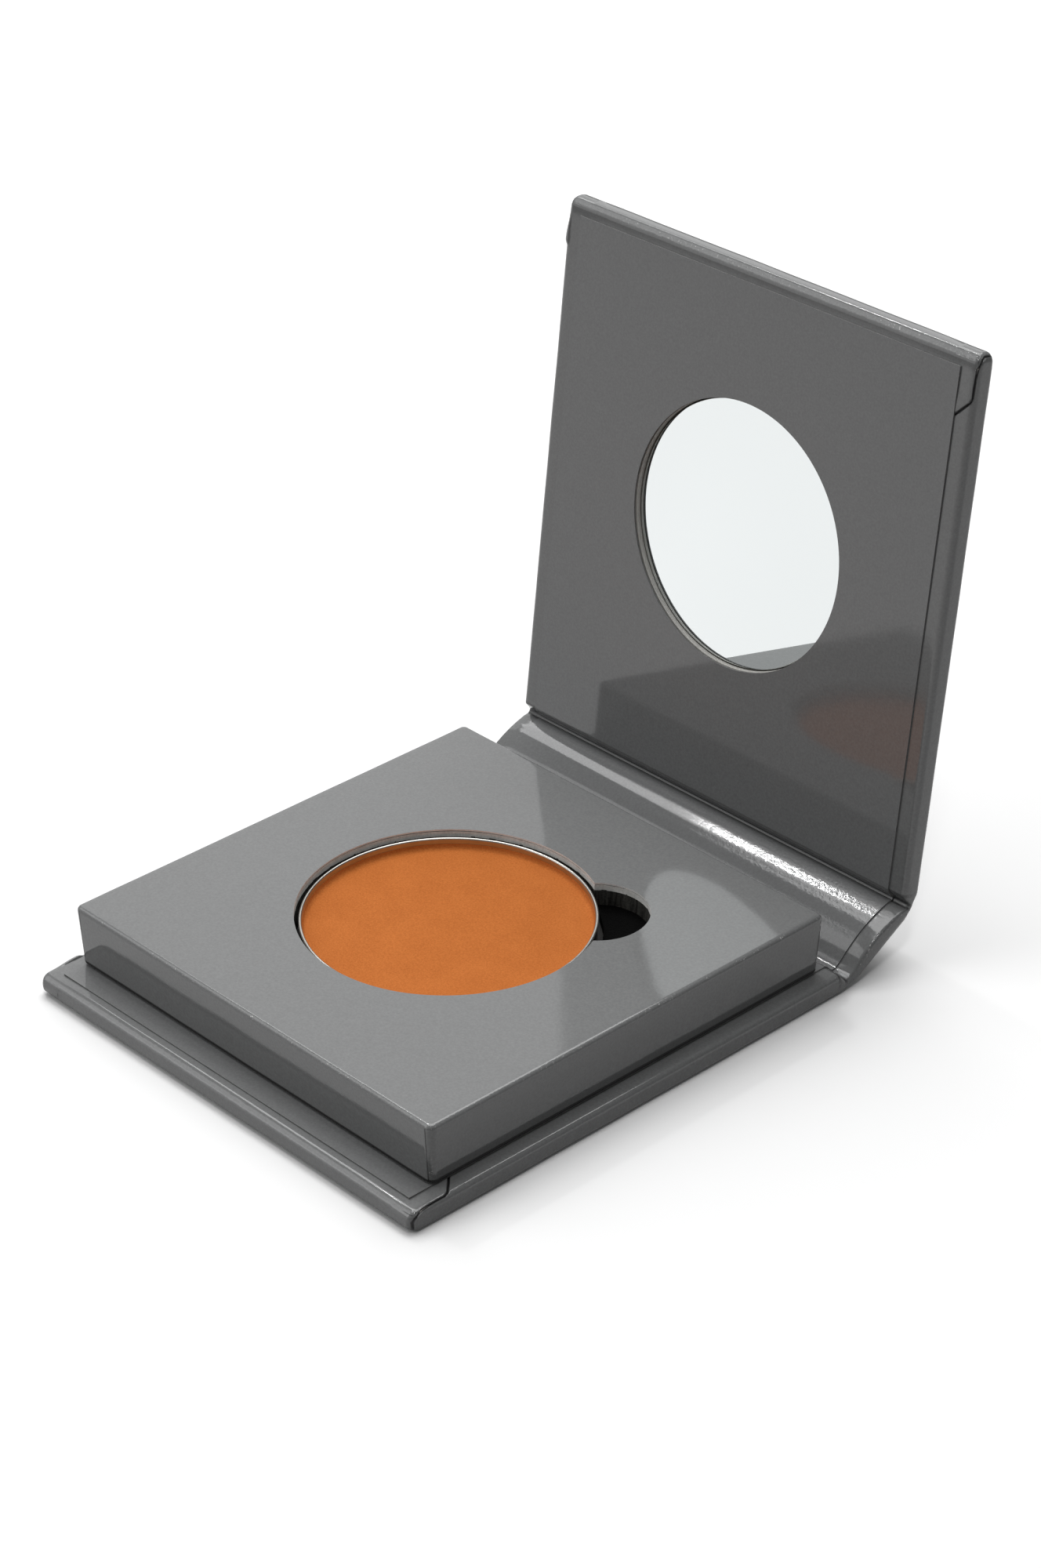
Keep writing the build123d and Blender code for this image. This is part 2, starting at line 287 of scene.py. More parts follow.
def cover_sheet(board, ear_side):
    """Wrap folded round a board: its crease lies along X, its inside faces up.

    The ear's cut edge shows on ear_side, -1 or 1.
    """
    top = board + paper
    bm = bmesh.new()
    bmesh.ops.create_cube(bm, size=1)
    bmesh.ops.scale(bm, vec=(cover_width, free_edge - seam, top + paper), verts=bm.verts)
    bmesh.ops.translate(bm, vec=(0, (free_edge + seam) / 2, (top - paper) / 2), verts=bm.verts)
    corners = [e for e in bm.edges if abs(e.verts[0].co.z - e.verts[1].co.z) > tiny
               and e.verts[0].co.y > free_edge - tiny]
    bmesh.ops.bevel(bm, geom=corners, offset=corner_r, segments=8, profile=0.5,
                    affect="EDGES", material=-1)
    rims = [e for e in bm.edges if abs(e.verts[0].co.z - e.verts[1].co.z) < tiny
            and max(v.co.y for v in e.verts) > seam + tiny]
    bmesh.ops.bevel(bm, geom=rims, offset=edge_r, segments=rim_steps, profile=0.5,
                    affect="EDGES", material=-1)
    bmesh.ops.delete(bm, geom=[f for f in bm.faces if f.calc_center_median().y < seam + tiny],
                     context="FACES")
    bmesh.ops.recalc_face_normals(bm, faces=bm.faces)

    # even squares over the faces, then fine ones where the ears are
    half = cover_width / 2
    opening_x, opening_y = half - turn_in, free_edge - turn_in
    side_cuts = [s * x * mm for s in (-1, 1) for x in (23.5, 25, 26.5, 28, 29.2, 30.4, 32.4)]
    end_cuts = [free_edge - f * mm
                for f in (10.5, 9, 8.2, 5.5, 4, 3, 2.4, 1.9, 1.5, 1.2, 0.9)]
    rule(bm, 0, sorted(steps(-opening_x, opening_x, 22) + side_cuts))
    rule(bm, 1, steps(seam, opening_y, 28)[1:] + end_cuts)
    bmesh.ops.delete(bm, context="FACES", geom=[
        f for f in bm.faces if f.normal.z > 0.99 and abs(f.calc_center_median().x) < opening_x
        and f.calc_center_median().y < opening_y])
    for side in (-1, 1):
        def in_corner(centre):
            return (side * centre.x > ear_from and centre.y > free_edge - ear_length
                    and centre.z > -paper + tiny)
        geom = whole([f for f in bm.faces if in_corner(f.calc_center_median())])
        geom = rule(bm, 0, [side * x * mm for x in steps(30.5, 33.9, 34)], geom)
        geom = rule(bm, 1, [free_edge - f * mm for f in steps(0.1, 8.1, 80)], geom)
        rule(bm, 2, steps(-paper + 0.1 * mm, top - 0.1 * mm, 28), geom)

    # folds, painted shade along the ear's slit, and the paper's slight waviness
    fold = bm.verts.layers.float.new("fold")
    painted_gap_shade = bm.verts.layers.float.new("painted_gap_shade")
    bm.normal_update()
    line = ear_line(top / mm, ear_side)
    middle, reach = (top - paper) / 2, (top + paper) / 2
    moves = []
    for v in bm.verts:
        x, y, z = v.co
        off, out = free_edge - y, ear_side * x
        # fold is full only along the lid's free edge, so the pale worn specks, which also paint
        # glints, show there alone
        wear_and_glint = 1 if ear_side > 0 and off < 1.5 * mm else 0.7
        v[fold] = smooth(1 - max(abs(c) for c in v.normal), 0.004, 0.12) * wear_and_glint
        level = (z - middle) / reach
        push = (noise.noise(v.co / (9 * mm)) + 0.3) * 0.05 * mm * smooth(y, 2 * mm, 6 * mm)
        if off < 9 * mm and out > 29.5 * mm:
            gap = min((v.co - near_on(v.co, a, b)).length for a, b in zip(line, line[1:]))
            # painted shade along the ear's cut edge, down in its groove
            v[painted_gap_shade] = 1 - smooth(gap, 0.09 * mm, ear_shade_r)
            push -= slit_depth * (1 - smooth(gap, 0.06 * mm, 0.18 * mm))
            if out < 33.6 * mm and out + off < 38.95 * mm and z > top - 0.3 * mm:
                push += 0.1 * mm * (1 - smooth(gap, 0.4 * mm, 2.5 * mm))
        if off < 9 * mm and out < -33.3 * mm:
            tail = smooth(off, 1.5 * mm, 5.2 * mm) * (1 - smooth(off, 5.3 * mm, 6.3 * mm))
            push += tail_lift * tail * smooth(z, -paper, 0.6 * mm)
        # the free edge is rolled round, and its corners are pressed a little slack
        roll = edge_roll * (1 - level ** 2) * (1 - min(1, off / edge_r))
        drop = edge_sink * level * (1 - smooth(off, 0, 1.9 * mm))
        if level > 0.3:
            drop += (corner_sink * smooth(abs(x), 25 * mm, 34 * mm)
                     * (1 - smooth(off, 0.2 * mm, 4.5 * mm)))
        moves.append(v.normal * push + Vector((0, roll, -drop)))
    for v, move in zip(bm.verts, moves):
        v.co += move
    return bm


creases = {j["name"]: Vector(j["pos_m"]) for j in frame["joints"] if j["type"] == "hinge"}
hinge_line = [creases[n] for n in ("base_crease", "spine_crease_lower",
                                   "spine_crease_upper", "lid_crease")]


def on_crease(start, lean):
    """Frame on a crease: X along it, Y along the sheet, Z to the inside."""
    return Matrix.Translation(start) @ Matrix.Rotation(lean, 4, "X")


lower_strip, spine_place, upper_strip = (
    on_crease(a, math.atan2(b.z - a.z, b.y - a.y)) for a, b in zip(hinge_line, hinge_line[1:]))
lid_lean = math.radians(83.2)      # the lid's sheet, up from the table
lid_place = on_crease(hinge_line[3], lid_lean)
base_place = Matrix.Translation(hinge_line[0]) @ Matrix.Rotation(math.pi, 4, "Z")

wrap_finish = laminate("wrap_laminate", (0.168, 0.171, 0.171))
paper_core = raw_edge("paper_core", (0.62, 0.62, 0.61), (0.9, 0.9, 0.88))
base_wrap = make_piece("base_cover_wrap", cover_sheet(base_board, -1), [wrap_finish],
                       "base", base_place, wall=paper)
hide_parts("base_wrap")

# ---------------------------------------------------------------------------
# Greyboard of the base, inside its wrap: matted waste-paper fibre, raw grey.
# ---------------------------------------------------------------------------
greyboard = raw_edge("greyboard", (0.24, 0.23, 0.215), (0.47, 0.455, 0.43), 0.4 * mm)
frame["nodes"]["base_board"].material_slots[0].material = greyboard

# ---------------------------------------------------------------------------
# Lining of the base cover: a second sheet of the same paper, grey right
# through, glued on the turn-ins with its cut edge a little in from the cover's.
# ---------------------------------------------------------------------------
liner_side = 2.5 * mm
liner_front = 1.6 * mm
liner_half = cover_width / 2 - liner_side
liner_finish = laminate("lining_laminate", (0.175, 0.178, 0.179))
lining_core = raw_edge("lining_core", (0.12, 0.12, 0.12), (0.24, 0.24, 0.236))


def lining_sheet(board):
    bm = bmesh.new()
    bmesh.ops.create_grid(bm, x_segments=30, y_segments=34, size=0.5)
    length = free_edge - liner_front - seam
    bmesh.ops.scale(bm, vec=(2 * liner_half, length, 1), verts=bm.verts)
    bmesh.ops.translate(bm, vec=(0, seam + length / 2, board + 2 * paper), verts=bm.verts)
    face_out(bm, Vector((0, 0, 1)))
    return bm


base_lining = make_piece("base_cover_lining", lining_sheet(base_board),
                         [liner_finish, lining_core], "base", base_place,
                         wall=paper)
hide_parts("base_liner")

# ---------------------------------------------------------------------------
# Folding joints. The same wrap and lining run on over the gap between the
# boards, the sides turned in over nothing, and the lining is pressed into a
# shallow gutter. Each crease is built as it lies, between the two stiff parts beside it.
# ---------------------------------------------------------------------------
lid_boards = 2.65 * mm
spine_length = (hinge_line[2] - hinge_line[1]).length
arch_rise = 0.75 * mm
ripple = 0.005 * mm
ripple_pitch = 1.35 * mm
spine_top = 2.3 * mm
gutter_lower = 1.3 * mm
gutter_upper = 0.95 * mm
ridge_r = 0.45 * mm


def arch(y):
    """Height of the spine's turned-in wrap: the paper stands in a low arch."""
    half = spine_length / 2
    wave = ripple * math.sin(2 * math.pi * y / ripple_pitch)
    return spine_top - arch_rise * ((y - half) / half) ** 2 + wave


def soften(corners, setback, count=8):
    """A fold line with each corner rounded from `setback` before it."""
    line = [corners[0]]
    for before, corner, after in zip(corners, corners[1:], corners[2:]):
        reach = min(setback, 0.48 * (before - corner).length, 0.48 * (after - corner).length)
        start = corner + (before - corner).normalized() * reach
        end = corner + (after - corner).normalized() * reach
        line += interpolate_bezier(
            start, start.lerp(corner, 0.55), end.lerp(corner, 0.55), end, count)
    return line + [corners[-1]]


def pace(line, count):
    """Evenly spaced points along a line."""
    lengths = [(b - a).length for a, b in zip(line, line[1:])]
    total, points = sum(lengths), []
    for i in range(count + 1):
        left, k = total * i / count, 0
        while k < len(lengths) - 1 and left > lengths[k]:
            left -= lengths[k]
            k += 1
        points.append(line[k].lerp(line[k + 1], min(1, left / max(lengths[k], 1e-12))))
    return points


def stand_off(line, gap):
    """The line moved square to itself, to the inside, by `gap`."""
    moved = []
    for i, point in enumerate(line):
        along = line[min(i + 1, len(line) - 1)] - line[max(i - 1, 0)]
        moved.append(point + Vector((0, -along.z, along.y)).normalized() * gap)
    return moved


def fold_section(ridge):
    """Half of the wrap's section across X: turn-in, tight ridge, round, outer sheet."""
    half = cover_width / 2
    turns = [math.radians(90 * k / rim_steps) for k in range(rim_steps + 1)]
    inside = [(x * mm, 0, 0) for x in (22, 23.5, 25, 26.5, 28, 29.2, 30.4, 31.8)]
    inside += [(half - ridge + ridge * math.sin(t), 0, ridge * (1 - math.cos(t))) for t in turns]
    outside = [(half - edge_r + edge_r * math.cos(t), 1, edge_r * (1 - math.sin(t)))
               for t in turns]
    outside += [(x, 1, 0) for x in reversed(steps(0, 31.8 * mm, 16))]
    return inside + outside


def crease_shade(line, i):
    """How much painted shade a line gets where it bends: 0 straight, 0.75 in a hard crease."""
    before, after = line[max(i - 1, 0)], line[min(i + 1, len(line) - 1)]
    if before == line[i] or after == line[i]:
        return 0
    bend = (line[i] - before).angle(after - line[i])
    return 0.75 * smooth(bend, math.radians(3), math.radians(14))


def run_wrap(outer, inner, count, ridges):
    """Wrap along a fold: outer and inner are the lines its two faces follow."""
    sections = []
    for i in range(count + 1):
        half = fold_section(ridges[0] + (ridges[1] - ridges[0]) * smooth(i / count, 0, 1))
        sections.append([(-x, side, drop) for x, side, drop in half] + half[-2::-1])
    outer, inner = pace(outer, count), pace(inner, count)
    bm = bmesh.new()
    bmesh.ops.create_grid(bm, x_segments=len(sections[0]) - 1, y_segments=count, size=0.5)
    fold = bm.verts.layers.float.new("fold")
    painted_gap_shade = bm.verts.layers.float.new("painted_gap_shade")
    for v in bm.verts:
        i = round((v.co.y + 0.5) * count)
        x, side, drop = sections[i][round((v.co.x + 0.5) * (len(sections[i]) - 1))]
        near, far = (inner[i], outer[i]) if side == 0 else (outer[i], inner[i])
        height = (far - near).length
        drop *= min(1, height / (2 * edge_r))
        v[fold] = smooth(drop, 0, 0.1 * mm) if 0.001 * mm < drop < 0.75 * mm else 0.15
        # painted shade down the inner crease
        v[painted_gap_shade] = crease_shade(inner, i) * (side == 0)
        v.co = near + (far - near) * (drop / height) + Vector((x, 0, 0))
    bmesh.ops.recalc_face_normals(bm, faces=bm.faces)
    lowest = min(bm.faces, key=lambda f: abs(f.calc_center_median().x)
                 + (f.calc_center_median() - outer[0]).length)
    if lowest.normal.dot(inner[0] - outer[0]) > 0:
        bmesh.ops.reverse_faces(bm, faces=bm.faces)
    return bm


def run_lining(inner, count):
    """Lining laid along the wrap's inner line, its film cracked towards one end."""
    line = pace(stand_off(pace(inner, count * 2), paper), count)
    bm = bmesh.new()
    bmesh.ops.create_grid(bm, x_segments=30, y_segments=count, size=0.5)
    fold = bm.verts.layers.float.new("fold")
    painted_gap_shade = bm.verts.layers.float.new("painted_gap_shade")
    for v in bm.verts:
        i = round((v.co.y + 0.5) * count)
        point = line[i]
        # film cracked towards one side, and painted shade down its creases
        v[fold], v[painted_gap_shade] = 0.06 + 0.32 * smooth(v.co.x, -0.06, 0.1), crease_shade(line, i)
        v.co = point + Vector((v.co.x * 2 * liner_half, 0, 0))
    first = line[1] - line[0]
    face_out(bm, Vector((0, -first.z, first.y)))
    return bm


def spot(place, y, z):
    """Point on a crease's frame, given along the sheet and to the inside."""
    return place @ Vector((0, y, z))


def meet(a, b, z):
    """Corner where the sheets on two neighbouring frames meet, at height z on both."""
    turn = (b.to_3x3() @ Vector((0, 1, 0))).angle(a.to_3x3() @ Vector((0, 1, 0)))
    return b @ Vector((0, z * math.tan(turn / 2), z))


base_flat = Matrix.Translation(hinge_line[0])
arch_slope = 2 * arch_rise * (spine_length / 2 - seam) / (spine_length / 2) ** 2
arch_end = arch(seam) - (seam - crease_gap) * arch_slope
lower_mid, upper_mid = 1.6 * mm, 1.25 * mm
# each row: name, body before, body after, node, the wrap's outer line, its inner line,
# then the frame that the bend lies in, its tilt, where it starts and ends, and the ridges
hinge_parts = [
    ("base_fold", "base", "lower_joint", "lower_joint",
     [spot(base_flat, -seam, -paper), meet(base_flat, lower_strip, -paper),
      spot(lower_strip, lower_mid, -paper)],
     [spot(base_flat, -seam, base_board + paper), spot(base_flat, -crease_gap, base_board + paper),
      spot(lower_strip, 1.1 * mm, gutter_lower), spot(lower_strip, lower_mid, gutter_lower)],
     lower_strip, -0.197, 0.04 * mm, 1.30 * mm, (edge_r, ridge_r)),
    ("spine_fold_lower", "lower_joint", "spine", "lower_joint",
     [spot(lower_strip, lower_mid, -paper), meet(lower_strip, spine_place, -paper),
      spot(spine_place, seam, -paper)],
     [spot(lower_strip, lower_mid, gutter_lower), spot(lower_strip, 2.1 * mm, gutter_lower),
      spot(spine_place, crease_gap, arch_end), spot(spine_place, seam, arch(seam))],
     lower_strip, 0.163, 1.85 * mm, 3.16 * mm, (ridge_r, ridge_r)),
    ("spine_fold_upper", "spine", "upper_joint", "upper_joint",
     [spot(spine_place, spine_length - seam, -paper), meet(spine_place, upper_strip, -paper),
      spot(upper_strip, upper_mid, -paper)],
     [spot(spine_place, spine_length - seam, arch(seam)),
      spot(spine_place, spine_length - crease_gap, arch_end),
      spot(upper_strip, 0.95 * mm, gutter_upper), spot(upper_strip, upper_mid, gutter_upper)],
     upper_strip, -0.316, 0.065 * mm, 0.90 * mm, (ridge_r, ridge_r)),
    ("lid_fold", "upper_joint", "lid", "upper_joint",
     [spot(upper_strip, upper_mid, -paper), meet(upper_strip, lid_place, -paper),
      spot(lid_place, seam, -paper)],
     [spot(upper_strip, upper_mid, gutter_upper), spot(upper_strip, 1.55 * mm, gutter_upper),
      spot(lid_place, crease_gap, lid_boards + paper), spot(lid_place, seam, lid_boards + paper)],
     upper_strip, 0.441, 1.74 * mm, 3.10 * mm, (ridge_r, edge_r)),
]
fold_steps = 22
for name, before, after, node, outer, inner, strip, tilt, bend_from, bend_to, ridges in (
        hinge_parts):
    outer, inner = soften(outer, 0.3 * mm), soften(inner, 0.24 * mm)
    across = strip.to_3x3() @ Vector((0, 1, tilt))
    way, reach = across.normalized(), across.length
    bend = [strip.translation + way * (at / reach) for at in (bend_from, bend_to)]
    wrap = make_piece(name + "_wrap", run_wrap(outer, inner, fold_steps, ridges), [wrap_finish],
                      wall=paper)
    lining = make_piece(name + "_lining", run_lining(inner, fold_steps),
                        [liner_finish, lining_core], wall=paper)
    for piece, part in ((wrap, "_wrap"), (lining, "_liner")):
        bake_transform(piece)
        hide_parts(node + part)

# ---------------------------------------------------------------------------
# Spine: a narrow greyboard in the same wrap. The paper stands off the board
# in a low arch that catches the light, its film cracked along one half.
# ---------------------------------------------------------------------------
spine_steps = 48
spine_span = steps(seam, spine_length - seam, spine_steps)
spine_outer = [spot(spine_place, y, -paper) for y in spine_span]
spine_inner = [spot(spine_place, y, arch(y)) for y in spine_span]
spine_sheet = run_wrap(spine_outer, spine_inner, spine_steps, (ridge_r, ridge_r))
spine_wrap = make_piece("spine_cover_wrap", spine_sheet, [wrap_finish],
                        "spine", wall=paper)
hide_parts("spine_wrap")
spine_lining = make_piece("spine_cover_lining", run_lining(spine_inner, spine_steps),
                          [liner_finish, lining_core], "spine", wall=paper)
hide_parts("spine_liner")
frame["nodes"]["spine_board"].material_slots[0].material = greyboard

# ---------------------------------------------------------------------------
# Lid cover: the same wrap round two boards glued together. The inner board
# and the lining are punched with a round window for the mirror; the punched
# board's cut wall is coloured darker in its back part, away from the lining.
# ---------------------------------------------------------------------------
window_r = 17.45 * mm
window_y = 36.2 * mm
lid_wrap = make_piece("lid_cover_wrap", cover_sheet(lid_boards, 1), [wrap_finish],
                      "lid", lid_place, wall=paper)
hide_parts("lid_wrap")


def punch(centre, radius, height, count=192, mark=1):
    """Round cutter whose walls leave the raw-edge finish behind them."""
    bm = bmesh.new()
    bmesh.ops.create_cone(bm, cap_ends=True, segments=count, radius1=radius, radius2=radius,
                          depth=height)
    bmesh.ops.translate(bm, vec=centre, verts=bm.verts)
    for f in bm.faces:
        f.material_index = mark
    mesh = bpy.data.meshes.new("punch")
    bm.to_mesh(mesh)
    bm.free()
    mesh.materials.append(None)
    mesh.materials.append(None)
    cutter = bpy.data.objects.new("punch", mesh)
    bpy.context.scene.collection.objects.link(cutter)
    cutter.hide_render = True
    return cutter


def put_away(*cutters):
    for cutter in cutters:
        bpy.data.objects.remove(cutter)


window_punch = punch((0, window_y, lid_boards + 1.5 * paper), window_r, 4 * mm)
lid_lining = make_piece("lid_cover_lining", lining_sheet(lid_boards), [liner_finish, lining_core],
                        "lid", lid_place, wall=paper, cuts=[window_punch])
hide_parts("lid_liner")
put_away(window_punch)
frame["nodes"]["lid_board"].material_slots[0].material = greyboard
pale_band_depth = 0.75 * mm
window_finish, shader, where = new_finish("window_board", Roughness=0.85,
                                          Specular_IOR_Level=0.25)
inward = lid_place.to_3x3() @ Vector((0, 0, 1))
height = where.node("ShaderNodeVectorMath", {0: where, 1: inward}, output=1,
                    operation="DOT_PRODUCT")
# the window's cut wall is coloured darker beyond this depth from the lining
dark_band_edge = lid_place.translation.dot(inward) + lid_boards - pale_band_depth
pale_band = (height - dark_band_edge).between(-0.04 * mm, 0.04 * mm)
fibre = where.grain(0.35 * mm, 4, 0.65) * 0.5
wall_tone = pale_band * 0.62 + fibre + 0.18
feed(shader, Base_Color=wall_tone.shade((0.15, 0.14, 0.12), (0.62, 0.61, 0.58)),
     Normal=relief(where.grain(0.12 * mm, 3) * 0.03))
frame["nodes"]["lid_window_board"].material_slots[0].material = window_finish

# ---------------------------------------------------------------------------
# Mirror: a disc of silvered glass stuck in the window with a round of tape.
# ---------------------------------------------------------------------------
mirror_finish, shader, where = new_finish("silvered_glass", Metallic=1.0)
cast = where.grain(30 * mm, 1) + 0.5
feed(shader, Base_Color=cast.shade((0.745, 0.772, 0.772), (0.785, 0.812, 0.812)),
     Roughness=where.grain(6 * mm, 3).between(0.12, 0.4) * 0.03 + 0.006)
frame["nodes"]["mirror"].material_slots[0].material = mirror_finish

# ---------------------------------------------------------------------------
# Tapes: a foam tape holds the tray on the base, tissue tape holds the mirror.
# ---------------------------------------------------------------------------
tape_finish, shader, where = new_finish("foam_tape", Roughness=0.8)
cells = where.node("ShaderNodeTexVoronoi", {"Vector": where, "Scale": 1 / (0.2 * mm)})
feed(shader, Base_Color=cells.shade((0.62, 0.62, 0.58), (0.76, 0.76, 0.72)),
     Normal=relief(cells * 0.05))
for name in ("tray_tape", "mirror_tape"):
    frame["nodes"][name].material_slots[0].material = tape_finish

# ---------------------------------------------------------------------------
# Tray: a card box in the same glossy wrap, its walls leaning in a little at
# the foot. The top is die cut for the round pan with a finger notch beside it.
# ---------------------------------------------------------------------------
low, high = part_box("tray_wrap")
tray_top, tray_foot = high.z, low.z
tray_centre = Vector(((low.x + high.x) / 2, (low.y + high.y) / 2, 0))
tray_side = high.x - low.x
tray_taper = 0.4 * mm
tray_corner_r = 0.9 * mm
tray_edge_r = 0.7 * mm
tray_card = 0.75 * mm
glue_gap = 0.1 * mm
wrap_seam = 0.95 * mm      # the wrap's ends meet this far in from the upright corners
seam_sink = 0.08 * mm
foot_gap = 0.3 * mm        # height of the painted shade at the foot, where the wrap turns under onto the tape
foot_fade = 0.42 * mm
seat_r = 18.75 * mm
notch_r = 6.5 * mm
notch_reach = 18.0 * mm
notch_turn = math.radians(45)
notch_centre = tray_centre + notch_reach * Vector((math.cos(notch_turn), math.sin(notch_turn), 0))


def tray_shell(inset, top):
    """Five-sided box of the tray, set in from its outside."""
    bm = bmesh.new()
    bmesh.ops.create_cube(bm, size=1)
    for v in bm.verts:
        z = top if v.co.z > 0 else tray_foot
        lean = tray_taper * (tray_top - z) / (tray_top - tray_foot)
        reach = tray_side - 2 * (inset + lean)
        v.co = tray_centre + Vector((v.co.x * reach, v.co.y * reach, z))
    upright = [e for e in bm.edges if abs(e.verts[0].co.z - e.verts[1].co.z) > mm]
    bmesh.ops.bevel(bm, geom=upright, offset=tray_corner_r - inset, segments=6, profile=0.5,
                    affect="EDGES", material=-1)
    rim = [e for e in bm.edges if min(v.co.z for v in e.verts) > top - tiny]
    bmesh.ops.bevel(bm, geom=rim, offset=tray_edge_r - inset, segments=6, profile=0.5,
                    affect="EDGES", material=-1)
    bmesh.ops.delete(bm, geom=[f for f in bm.faces if f.normal.z < -0.9], context="FACES")
    return bm


def tray_cover_sheet():
    bm = tray_shell(0, tray_top)
    half = tray_side / 2
    # the wrap's ends meet in a fine seam beside each upright corner, on the front and back
    seams = [s * (half - wrap_seam + d * mm)
             for s in (-1, 1) for d in (-0.16, -0.08, 0, 0.08, 0.16)]
    rule(bm, 0, seams, whole([f for f in bm.faces if abs(f.normal.y) > 0.9]))
    edge_cuts = steps(-half + 1.2 * mm, half - 1.2 * mm, 31)
    rule(bm, 2, [tray_foot + foot_gap, tray_foot + foot_fade])
    rule(bm, 0, edge_cuts)
    rule(bm, 1, [tray_centre.y + e for e in edge_cuts])
    bmesh.ops.recalc_face_normals(bm, faces=bm.faces)
    fold = bm.verts.layers.float.new("fold")
    painted_gap_shade = bm.verts.layers.float.new("painted_gap_shade")
    bm.normal_update()
    for v in bm.verts:
        v[fold] = smooth(1 - max(abs(c) for c in v.normal), 0.004, 0.12)
        side_gap = abs(abs(v.co.x) - half + wrap_seam)
        # painted shade down the fine seam beside each upright corner
        if abs(v.normal.y) > 0.9 and v.co.z < tray_top - 0.5 * mm:
            v[painted_gap_shade] = 1 - smooth(side_gap, 0.02 * mm, 0.09 * mm)
    for v in bm.verts:
        dip = noise.noise(v.co / (7 * mm)) * 0.03 * mm
        v.co += v.normal * (dip - seam_sink * v[painted_gap_shade])
        # near the foot the wrap is painted dark, as shade in the gap where it turns under onto the
        # tape
        v[painted_gap_shade] = max(v[painted_gap_shade], 1 - smooth(v.co.z, tray_foot + foot_gap, tray_foot + foot_fade))
    return bm


seat_punch = punch(tray_centre + Vector((0, 0, tray_top)), seat_r, 6 * mm, 240)
notch_punch = punch(notch_centre + Vector((0, 0, tray_top)), notch_r, 6 * mm, 120)
tray_cover = make_piece("tray_cover", tray_cover_sheet(), [wrap_finish, paper_core],
                        "base", wall=paper, cuts=[seat_punch, notch_punch])
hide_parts("tray_wrap")
card_core = raw_edge("card_core", (0.5, 0.5, 0.48), (0.82, 0.81, 0.78), 0.25 * mm)
tray_walls = make_piece("tray_card_shell", tray_shell(paper, tray_top - paper - glue_gap),
                        [card_core], "base", wall=tray_card,
                        cuts=[seat_punch, notch_punch])
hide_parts("tray_card")
put_away(seat_punch, notch_punch)
for name in ("tray_bottom", "filler_board"):
    frame["nodes"][name].material_slots[0].material = greyboard

# ---------------------------------------------------------------------------
# Foam in the tray: two layers of closed-cell foam, charcoal above and black below;
# the lower one's near-zero black, far darker than real foam, also paints the deep
# shade on the notch's floor. The upper one is die cut to the seat and notch, and
# the blade leaves upright strokes on it.
# ---------------------------------------------------------------------------
def foam_grade(name, dark, light):
    material, shader, where = new_finish(name, Roughness=0.95, Specular_IOR_Level=0.08)
    pores = where.node("ShaderNodeTexVoronoi", {"Vector": where, "Scale": 1 / (0.22 * mm)})
    strokes = where.node("ShaderNodeTexNoise", {
        "Vector": where.node("ShaderNodeMapping", {"Vector": where, "Scale": (1, 1, 0.12)}),
        "Scale": 1 / (0.3 * mm), "Detail": 3})
    feed(shader, Base_Color=(strokes * 1.8 - 0.45).shade(dark, light),
         Normal=relief(pores * 0.06 + strokes * 0.12))
    return material


open_foam = foam_grade("charcoal_foam", (0.012, 0.012, 0.011), (0.085, 0.083, 0.075))
# near-zero black: black foam, darkened further as painted deep shade on the notch floor
black_foam_and_shade = foam_grade("black_foam_deep_shade", (0.0004, 0.0004, 0.0004), (0.0016, 0.0016, 0.0015))


def foam_block(node):
    low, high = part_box(node)
    bm = bmesh.new()
    bmesh.ops.create_cube(bm, size=1)
    bmesh.ops.scale(bm, vec=high - low, verts=bm.verts)
    bmesh.ops.translate(bm, vec=(low + high) / 2, verts=bm.verts)
    bmesh.ops.bevel(bm, geom=bm.edges[:], offset=0.15 * mm, segments=2, profile=0.5,
                    affect="EDGES", material=-1)
    return bm


def roughen(piece, centre, radius):
    """Uneven upright strokes on the wall of a die-cut hole."""
    for v in piece.data.vertices:
        arm = (v.co - centre).to_2d()
        if abs(arm.length - radius) < 0.02 * mm:
            turn = math.atan2(arm.y, arm.x)
            lump = noise.noise(Vector((math.cos(turn), math.sin(turn), 0)) * radius / (0.9 * mm))
            shift = arm.normalized() * (lump * 0.09 * mm + 0.03 * mm)
            v.co.x, v.co.y = v.co.x + shift.x, v.co.y + shift.y


magnet_low, magnet_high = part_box("tray_magnet_left")
magnet_centre = (magnet_low + magnet_high) / 2
pocket_r = 4.1 * mm
for node, name, grade, notched in (("foam_base", "foam_floor", black_foam_and_shade, False),
                                   ("foam_insert", "foam_seat", open_foam, True)):
    middle = (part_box(node)[0].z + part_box(node)[1].z) / 2
    at = Vector((0, 0, middle))
    cutters = [punch(tray_centre + at, seat_r, 6 * mm, 300, 0)]
    if notched:
        cutters += [punch(notch_centre + at, notch_r, 6 * mm, 160, 0)]
        cutters += [punch(Vector((s * abs(magnet_centre.x), magnet_centre.y, middle)),
                          pocket_r, 6 * mm, 64, 0) for s in (-1, 1)]
    foam = make_piece(name, foam_block(node), [grade], "base", cuts=cutters)
    put_away(*cutters)
    roughen(foam, tray_centre, seat_r)
    if notched:
        roughen(foam, notch_centre, notch_r)
    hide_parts(node)

